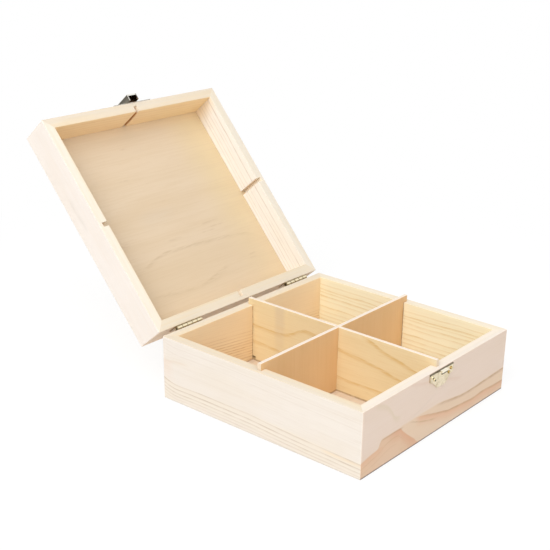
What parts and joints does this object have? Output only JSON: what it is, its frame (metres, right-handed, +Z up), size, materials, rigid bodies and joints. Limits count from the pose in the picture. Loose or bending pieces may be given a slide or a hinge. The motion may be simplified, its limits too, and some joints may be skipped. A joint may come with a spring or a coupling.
{
  "type": "wooden compartment box",
  "caption": "Square pine box with a hinged lid, crossed plywood dividers, brass butt hinges and a brass snap hasp, for small dry goods.",
  "frame": {"origin": "centre of the flat underside of the base, on the surface that the box stands on", "axes": "+Z up, -Y to the front with the keeper, +Y to the hinges, X along the front"},
  "size_m": [0.18, 0.3241, 0.193],
  "materials": {
    "pine": "sanded, unfinished",
    "plywood": "sanded, unfinished",
    "brass": "bright plated"
  },
  "bodies": {
    "base": {"base_front_wall": "pine", "base_back_wall": "pine", "base_left_wall": "pine", "base_right_wall": "pine", "base_bottom_panel": "plywood", "front_back_divider": "plywood", "left_right_divider": "plywood", "keeper_plate": "brass", "keeper_nails": "brass", "left_hinge_base_leaf": "brass", "right_hinge_base_leaf": "brass", "left_hinge_pin": "brass", "right_hinge_pin": "brass", "hinge_base_nails": "brass"},
    "lid": {"lid_front_wall": "pine", "lid_back_wall": "pine", "lid_left_wall": "pine", "lid_right_wall": "pine", "lid_top_panel": "plywood", "left_hinge_lid_leaf": "brass", "right_hinge_lid_leaf": "brass", "hinge_lid_nails": "brass", "hasp_plate": "brass", "hasp_nails": "brass"},
    "hasp": {"hasp_hood": "brass", "hasp_pin": "brass"}
  },
  "joints": [
    {"name": "lid_hinge", "type": "hinge", "parent": "base", "child": "lid", "pos_m": [0, 0.09195, 0.04915], "axis": [1, 0, 0], "range_deg": [0, 131]},
    {"name": "hasp_hinge", "type": "hinge", "parent": "lid", "child": "hasp", "pos_m": [0, 0.22108, 0.18223], "axis": [-1, 0, 0], "range_deg": [0, 100]}
  ]
}
